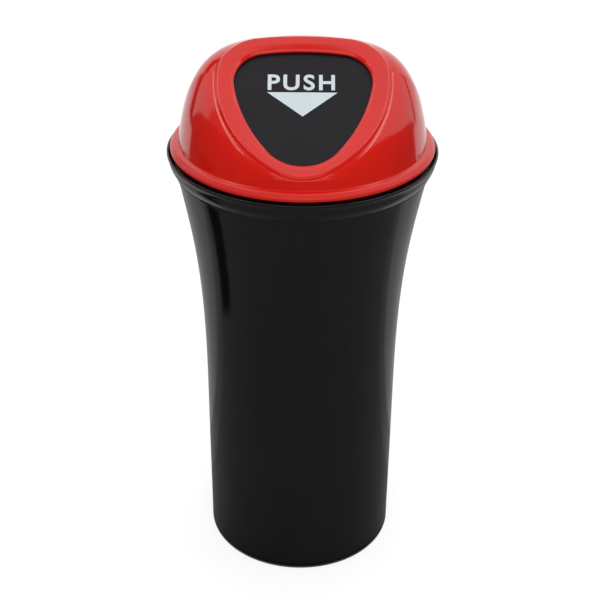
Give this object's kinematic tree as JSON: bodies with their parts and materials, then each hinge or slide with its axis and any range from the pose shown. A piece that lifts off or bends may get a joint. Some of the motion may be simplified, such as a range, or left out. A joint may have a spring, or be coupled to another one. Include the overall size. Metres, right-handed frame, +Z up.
{
  "type": "car trash bin",
  "caption": "Slim round waste bin for a car cup holder, tapered below and flared to a rolled rim, with a press-on domed lid and a slanted, spring-closed push flap.",
  "frame": {"origin": "middle of the foot ring, on the surface that the bin stands on", "axes": "+Z up along the bin, -Y towards the low edge of the slanted flap, +X to the right of someone who faces the flap"},
  "size_m": [0.0852, 0.0852, 0.1807],
  "materials": {
    "black_plastic": "glossy moulded black plastic",
    "red_plastic": "glossy moulded red plastic",
    "charcoal_plastic": "satin moulded charcoal plastic",
    "steel": "drawn steel wire"
  },
  "bodies": {
    "bin": {"bin": "black_plastic"},
    "lid": {"lid": "red_plastic", "hinge_pin": "steel", "torsion_spring": "steel"},
    "flap": {"flap": "charcoal_plastic"}
  },
  "joints": [
    {"name": "lid_lift", "type": "slide", "parent": "bin", "child": "lid", "axis": [0, 0, 1], "range_m": [0, 0.06]},
    {"name": "flap_push", "type": "hinge", "parent": "lid", "child": "flap", "pos_m": [0, 0.00447, 0.17405], "axis": [1, 0, 0], "range_deg": [0, 65], "stiffness_Nm_per_rad": 0.008, "springref_deg": -40.11, "deforming": ["torsion_spring"]}
  ]
}
